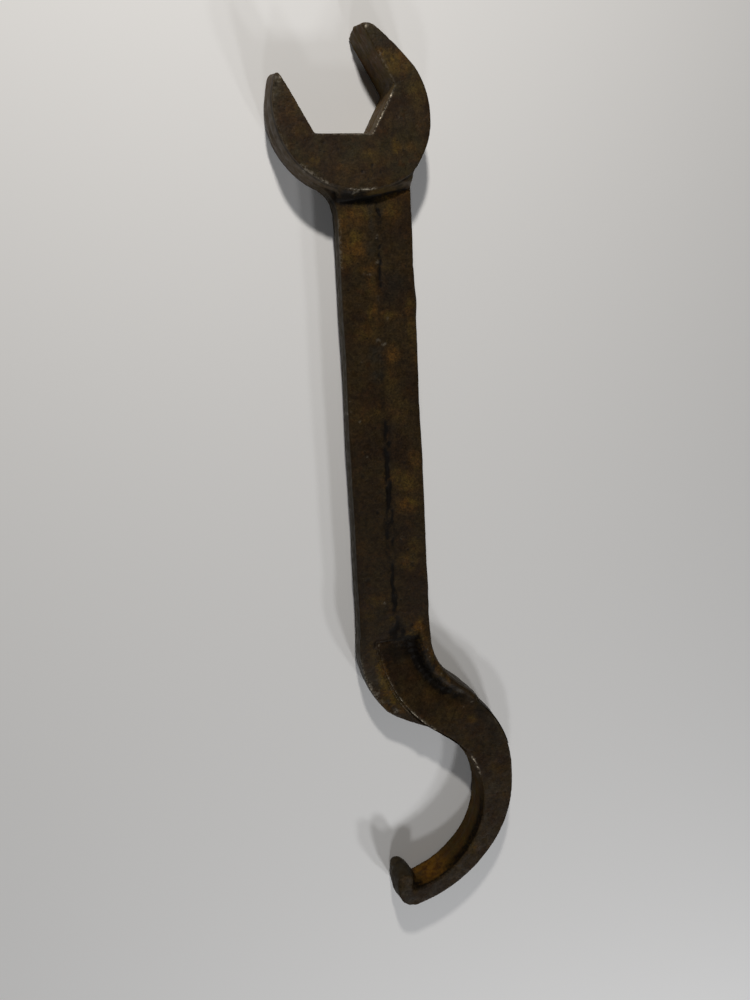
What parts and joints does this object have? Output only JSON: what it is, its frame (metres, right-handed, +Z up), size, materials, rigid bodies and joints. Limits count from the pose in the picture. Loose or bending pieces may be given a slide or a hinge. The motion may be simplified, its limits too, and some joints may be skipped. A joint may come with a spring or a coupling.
{
  "type": "hexagon jaw and hook spanner",
  "caption": "Forged spanner with an open hexagon jaw set at an angle on one end and a C hook with an inward nib on the other, joined by a flat shank.",
  "frame": {"origin": "centre of the hexagon jaw, on the nut's axis, level with the underside of the head", "axes": "+Z up along the nut's axis; the shank runs towards -Y, so +Y points from the hook to the jaw; +X points to the side the hook bulges to"},
  "size_m": [0.0738, 0.3006, 0.016],
  "materials": {
    "head_steel": "dark brown rusted forging scale, worn brighter at the edges",
    "shank_steel": "brown rusted forging scale with orange patches and dark pits",
    "hook_steel": "dark brown rusted forging scale, smoother and greyer on the faces"
  },
  "bodies": {
    "root": {"jaw_head": "head_steel", "shank": "shank_steel", "hook_arm": "hook_steel"}
  },
  "joints": []
}
